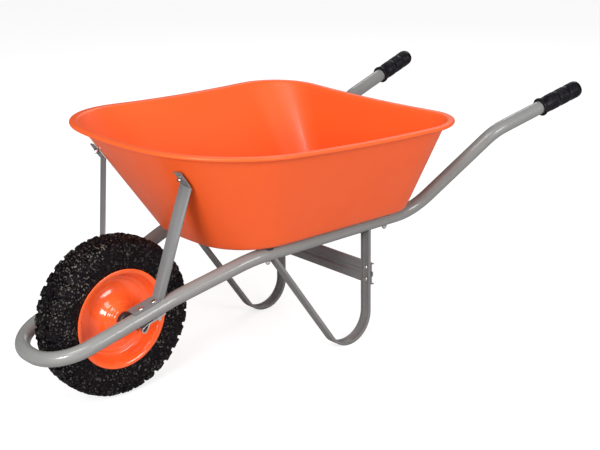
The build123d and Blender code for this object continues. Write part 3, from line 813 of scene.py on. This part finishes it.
@dataclass
class Tyre:
    """Block-tread tyre.

    Attributes:
        radius: Outside radius. Not used.
        half_width: Half its width at the sidewalls.
        pitches: Blocks round the tread.
        depth: Depth of the grooves.
    """

    radius: float = 0.185
    half_width: float = 0.0445
    pitches: int = 34
    depth: float = 0.0062

    def column_places(self) -> list[float]:
        """Where the columns of one pitch stand, as shares of the pitch."""
        return [0.0, 0.09, 0.19, 0.25, 0.33, 0.43, 0.5, 0.59, 0.69, 0.75, 0.83, 0.93]

    def profile(self) -> list[tuple[float, float]]:
        """Outer skin from bead to bead, then the inside back again, in metres."""
        crown = [(185.0, 0), (185.0, 5), (184.8, 10), (184.6, 12), (184.6, 13), (184.0, 17), (184.0, 18)]
        crown += [(183.2, 24), (181.6, 30), (178.6, 35.5), (174.5, 39.2), (169.0, 41.6), (163.0, 43.2)]
        crown.append((158.0, 43.9))
        side = [(155.5, 43.6), (152, 43.9), (148.5, 44.2), (145, 44.4), (141, 44.5), (137.5, 44.4)]
        side += [(134, 44.1), (130.5, 43.6), (127.5, 42.9), (124.5, 41.8), (121.5, 40.2), (119, 38.6)]
        side += [(116.5, 36.9), (113, 35.4), (107, 33.6), (102.2, 29.0)]
        half = crown + side
        inside = [(101.5, 23.0), (115, 31.0), (141, 37.0), (162, 31.0), (170, 18.0), (173, 0)]
        outer = [(r, -y) for r, y in reversed(half[1:])] + half
        inner = inside + [(r, -y) for r, y in reversed(inside[:-1])]
        return [(r * MM, y * MM) for r, y in outer + inner]

    def sink(self, share: float, along: float, reach: float) -> float:
        """How deep the tread is cut at a place.

        Args:
            share: Place within the pitch, 0 to 1.
            along: Place across the tread, metres, left positive.
            reach: Distance from the axle, metres.

        Returns:
            Depth of the cut, metres.
        """
        across = abs(along)
        if reach < 0.157 or reach > 0.2:
            return 0.0
        if across < 0.0125:
            turned = (share + 0.25 + along * 14) % 1.0
            return self.depth * 0.8 if turned > 0.74 else 0.0
        if across < 0.0175:
            return self.depth * 0.7
        turned = share if along > 0 else (share + 0.5) % 1.0
        fade = min(1.0, (reach - 0.157) / 0.016)
        return self.depth * fade if 0.72 < turned < 0.95 else 0.0

    def build(self) -> None:
        """Spin the skin, gather its columns at the block walls and cut the tread."""
        places = self.column_places()
        mesh = spun(self.profile(), self.pitches * len(places), closed=True)
        pitch = FULL_TURN / self.pitches
        for vert in mesh.verts:
            reach = math.hypot(vert.co.x, vert.co.z)
            turned = math.atan2(vert.co.z, vert.co.x) % FULL_TURN
            column = round(turned / (pitch / len(places)))
            block, step = divmod(column, len(places))
            angle = pitch * (block + places[step])
            skin = self.is_skin(reach, vert.co.y)
            cut = self.sink(places[step], vert.co.y, reach) if skin else 0.0
            lean = Vector((math.cos(angle), 0, math.sin(angle)))
            side = min(1.0, abs(vert.co.y) / self.half_width) ** 3
            level = 1 - side * 0.5
            inward = Vector((lean.x * level, math.copysign(side * 0.8, vert.co.y), lean.z * level))
            place = lean * reach + Vector((0, vert.co.y, 0))
            knob = self.knobs(place) if skin else 0.0
            vert.co = place - inward * (cut + knob)
        bmesh.ops.translate(mesh, verts=mesh.verts, vec=HUB)
        bmesh.ops.recalc_face_normals(mesh, faces=mesh.faces)
        finish_piece(mesh, "tyre_tread", Body.WHEEL, TYRE_RUBBER, ["tyre"], 40.0)

    @staticmethod
    def knobs(place: Vector) -> float:
        """How deep the rough moulding is at a place, metres."""
        coarse = noise.noise(place * 130.0)
        fine = noise.noise(place * 260.0 + Vector((7.0, 3.0, 5.0)))
        return 0.0016 + 0.0022 * max(-0.7, min(0.7, coarse + fine))

    @staticmethod
    def is_skin(reach: float, along: float) -> bool:
        """Whether a point of the profile lies on the outside of the tyre."""
        return reach > 0.1735 or abs(along) > 0.0385


@dataclass
class RimHalf:
    """One pressed half of the rim.

    Attributes:
        side: Side of the wheel it is on.
        steps: Steps round.
        sheet: Thickness of the sheet.
    """

    side: Side
    steps: int = 96
    sheet: float = 0.0018

    def profile(self) -> list[tuple[float, float]]:
        """Outside face from the lip to the hub, metres."""
        lip = [(115.0, 36.6), (115.2, 38.2), (113.6, 38.9), (111.0, 38.6), (107.5, 37.4), (104.8, 35.8)]
        seat = [(102.5, 32.5), (100.2, 26.0), (97.8, 18.0), (95.4, 11.0), (93.2, 8.2), (90.6, 7.0)]
        step = [(87.4, 6.6), (86.2, 6.2), (85.2, 4.8), (84.2, 3.2), (82.4, 2.4)]
        dish = [(76.0, 2.6), (68.0, 3.6), (60.0, 6.0), (53.0, 9.8), (47.5, 14.6), (43.5, 19.6), (40.6, 24.2)]
        cone = [(38.9, 26.2), (36.9, 27.0), (35.3, 28.6), (33.4, 32.0), (32.2, 33.4), (30.2, 34.2)]
        hub = [(28.8, 36.0), (27.0, 40.6), (25.2, 43.4), (22.0, 45.0), (16.0, 45.4), (14.1, 45.4)]
        line = lip + seat + step + dish + cone + hub
        return [(r * MM, y * MM * self.side.value) for r, y in line]

    def build(self) -> None:
        """Spin the face and give it the sheet's thickness."""
        mesh = spun(self.profile(), self.steps)
        bmesh.ops.translate(mesh, verts=mesh.verts, vec=HUB)
        outward = max(mesh.faces, key=lambda face: face.calc_area())
        if outward.normal.y * self.side.value < 0:
            bmesh.ops.reverse_faces(mesh, faces=mesh.faces)
        name = f"rim_half_{self.side.word}"
        piece = finish_piece(mesh, f"{name}_face", Body.WHEEL, ORANGE_GLOSS, [name], 60.0)
        sheet = piece.modifiers.new("sheet", "SOLIDIFY")
        sheet.thickness = self.sheet
        sheet.offset = -1.0
        smooth = piece.modifiers.new("smooth", "SUBSURF")
        smooth.levels = smooth.render_levels = 1


# ---------------------------------------------------------------- grips


@dataclass
class Grip:
    """Ribbed rubber grip.

    Attributes:
        side: Side of the barrow.
        knee: Where the handle bends, from the hub, and above the ground.
        direction: The way the handle runs from there.
        reach: From the knee to the end of the grip.
        length: Length of the grip.
        radius: Radius between the ribs.
        bore: Radius of the tube inside.
        rib_groups: Groups of ribs along the grip.
        ribs: Ribs in a group.
        first_rib: From the end of the grip to the first rib.
        group_pitch: From one group to the next.
        rib_pitch: From one rib to the next.
        rib_height: How far a rib stands up.
    """

    side: Side
    knee: tuple[float, float, float] = (-0.969, 0.265, 0.481)
    direction: tuple[float, float, float] = (-0.957, 0.138, 0.254)
    reach: float = 0.288
    length: float = 0.135
    radius: float = 0.0206
    bore: float = 0.01685
    rib_groups: int = 3
    ribs: int = 6
    first_rib: float = 0.014
    group_pitch: float = 0.034
    rib_pitch: float = 0.004
    rib_height: float = 0.0008

    def profile(self) -> list[tuple[float, float]]:
        """Skin from the middle of the rounded end to the mouth and back along the bore."""
        line = [(0.0001, 0.0), (0.009, 0.0002), (0.0145, 0.0012), (0.0185, 0.004), (self.radius, 0.009)]
        high = self.radius + self.rib_height
        for index in range(self.rib_groups):
            start = self.first_rib + index * self.group_pitch
            for rib in range(self.ribs):
                place = start + rib * self.rib_pitch
                line += [(self.radius, place), (high, place + 0.0007), (high, place + 0.0024)]
                line.append((self.radius, place + 0.0031))
        mouth = self.length
        line += [(self.radius, mouth - 0.0085), (0.0228, mouth - 0.0072), (0.0234, mouth - 0.0058)]
        line += [(0.0234, mouth - 0.0018), (0.0226, mouth - 0.0002), (0.0175, mouth)]
        line += [(self.bore, mouth - 0.0006), (self.bore, 0.005), (0.0001, 0.005)]
        return line

    def build(self) -> None:
        """Spin the skin and lay it on the handle."""
        mesh = spun(self.profile(), 64)
        poles = [vert for vert in mesh.verts if math.hypot(vert.co.x, vert.co.z) < 0.0002]
        bmesh.ops.remove_doubles(mesh, verts=poles, dist=0.0005)
        flip = self.side.value
        inward = -Vector((self.direction[0], self.direction[1] * flip, self.direction[2])).normalized()
        knee = Vector((self.knee[0] + HUB.x, self.knee[1] * flip, self.knee[2]))
        end = knee - inward * self.reach
        turn = Vector((0, 1, 0)).rotation_difference(inward).to_matrix().to_4x4()
        bmesh.ops.transform(mesh, matrix=Matrix.Translation(end) @ turn, verts=mesh.verts)
        bmesh.ops.recalc_face_normals(mesh, faces=mesh.faces)
        name = f"grip_{self.side.word}"
        finish_piece(mesh, f"{name}_rubber", Body.FRAME, GRIP_RUBBER, [name], 50.0)


# ---------------------------------------------------------------- the rest of the barrow


class Chassis:
    """Tube, struts, legs, brace and straps, kept from the CAD with softened edges."""

    def build(self) -> None:
        """Dress the tube and replace the sheet pieces."""
        dress("frame_tube", GREY_TUBE)
        for side in Side:
            softened(f"front_strut_{side.word}", 0.0006, Body.FRAME, GREY_BRACKET)
            softened(f"leg_{side.word}", 0.0006, Body.FRAME, GREY_BRACKET)
            softened(f"axle_strap_{side.word}", 0.0003, Body.FRAME, ZINC)
            dress(f"axle_spacer_{side.word}", BLACK_PLASTIC)
        softened("cross_brace", 0.0004, Body.FRAME, GREY_BRACKET)
        dress("axle", DARK_STEEL)
        dress("tray_pads", PAD_RUBBER)


class Hardware:
    """Bolts, washers, nuts and rivets."""

    def build(self) -> None:
        """Soften every fastener's edges."""
        for place in ("tray", "strut_top", "strap", "brace"):
            for kind in ("bolts", "washers", "nuts"):
                softened(f"{place}_{kind}", 0.0003, Body.FRAME, ZINC, 40.0)
        softened("strut_rivets", 0.0003, Body.FRAME, ZINC, 40.0)


class Wheel:
    """Tyre, rim, hub and valve."""

    def build(self) -> None:
        """Build the turning pieces."""
        Tyre().build()
        for side in Side:
            RimHalf(side).build()
            dress(f"hub_bush_{side.word}", BLACK_PLASTIC)
        dress("hub_tube", PLAIN_STEEL)
        dress("inner_tube", PAD_RUBBER)
        dress("valve_stem", PLAIN_STEEL)
        dress("valve_cap", BLACK_PLASTIC)


# ---------------------------------------------------------------- studio


@dataclass
class Studio:
    """Pale floor, soft lights and the camera.

    Attributes:
        eye: Camera's place, measured from the hub along X, from the middle along Y, above the ground.
        look: The way it looks.
        roll: How far it is turned about that way, radians.
        lens: Focal length, mm on a 36 mm sensor.
        ambient: Brightness of the room.
        reflected: Brightness of the room in reflections.
    """

    eye: tuple[float, float, float] = (1.4336, 2.2849, 1.2694)
    look: tuple[float, float, float] = (-0.62349, -0.71602, -0.31398)
    roll: float = -0.01585
    lens: float = 77.32
    ambient: float = 0.48
    reflected: float = 0.06

    def camera(self) -> None:
        """Place the camera."""
        data = bpy.data.cameras.new("camera")
        data.lens = self.lens
        data.sensor_width = 36.0
        data.clip_end = 50.0
        camera = bpy.data.objects.new("camera", data)
        bpy.context.scene.collection.objects.link(camera)
        turn = Vector(self.look).to_track_quat("-Z", "Y").to_matrix().to_4x4()
        place = Vector((self.eye[0] + HUB.x, self.eye[1], self.eye[2]))
        camera.matrix_world = Matrix.Translation(place) @ turn @ Matrix.Rotation(self.roll, 4, "Z")
        bpy.context.scene.camera = camera

    def light(
        self, name: str, place: tuple[float, float, float], size: tuple[float, float], power: float
    ) -> None:
        """Add a soft rectangular light aimed at the barrow.

        Args:
            name: Name of the light.
            place: Where it stands.
            size: Its width and height.
            power: Its power, watts.
        """
        data = bpy.data.lights.new(name, "AREA")
        data.shape = "RECTANGLE"
        data.size, data.size_y = size
        data.energy = power
        lamp = bpy.data.objects.new(name, data)
        bpy.context.scene.collection.objects.link(lamp)
        aim = Vector((0.0, 0.0, 0.3)) - Vector(place)
        lamp.matrix_world = Matrix.Translation(place) @ aim.to_track_quat("-Z", "Y").to_matrix().to_4x4()

    def floor(self) -> None:
        """Lay the pale floor."""
        mesh = bmesh.new()
        bmesh.ops.create_grid(mesh, x_segments=8, y_segments=8, size=14.0)
        bmesh.ops.translate(mesh, verts=mesh.verts, vec=(0, 0, -0.0005))
        data = bpy.data.meshes.new("floor")
        mesh.to_mesh(data)
        mesh.free()
        floor = bpy.data.objects.new("floor", data)
        bpy.context.scene.collection.objects.link(floor)
        material = bpy.data.materials.new("floor_pale")
        material.use_nodes = True
        shader = material.node_tree.nodes["Principled BSDF"]
        graph = Graph(material.node_tree)
        seen = graph.add("ShaderNodeLightPath").outputs["Is Camera Ray"]
        graph.join(graph.remap(seen, 0.0, 1.0, 0.03, 0.74), shader.inputs["Emission Strength"])
        shader.inputs["Base Color"].default_value = (0.4, 0.4, 0.4, 1.0)
        shader.inputs["Roughness"].default_value = 0.9
        shader.inputs["Specular IOR Level"].default_value = 0.1
        shader.inputs["Emission Color"].default_value = (1.0, 1.0, 1.0, 1.0)
        data.materials.append(material)

    def world(self) -> None:
        """Light the surroundings evenly."""
        world = bpy.data.worlds.new("studio")
        world.use_nodes = True
        graph = Graph(world.node_tree)
        background = world.node_tree.nodes["Background"]
        background.inputs[0].default_value = (1.0, 1.0, 1.0, 1.0)
        path = graph.add("ShaderNodeLightPath")
        unlit = graph.math("MULTIPLY", path.outputs["Is Glossy Ray"], self.ambient - self.reflected)
        soft = graph.math("SUBTRACT", self.ambient, unlit)
        seen = graph.math("MAXIMUM", path.outputs["Is Camera Ray"], soft)
        graph.join(seen, background.inputs[1])
        bpy.context.scene.world = world
        bpy.context.scene.view_settings.view_transform = "Standard"

    def build(self) -> None:
        """Set up the whole studio."""
        self.camera()
        self.floor()
        self.world()
        self.light("key", (1.9, 1.3, 3.2), (1.8, 1.2), 48.0)
        self.light("front", (3.3, 1.5, 1.5), (1.2, 1.0), 84.0)
        self.light("side", (-0.6, 3.5, 1.6), (1.4, 1.2), 62.0)
        self.light("back", (-2.6, -1.8, 2.4), (2.2, 1.4), 25.0)


FLOOR_OUTLINE = Outline(-0.205, (-0.211, 0.190), (-0.768, 0.200), 0.145, 0.075)
RIM_OUTLINE = Outline(-0.0115, (-0.0455, 0.3235), (-0.8025, 0.3575), 0.240, 0.135)


def main() -> None:
    """Build every piece in order."""
    Tray(FLOOR_OUTLINE, RIM_OUTLINE).build()
    Chassis().build()
    Wheel().build()
    for side in Side:
        Grip(side).build()
    Hardware().build()
    Studio().build()


if __name__ == "__main__":
    logging.basicConfig(level=logging.INFO, format="%(message)s")
    main()
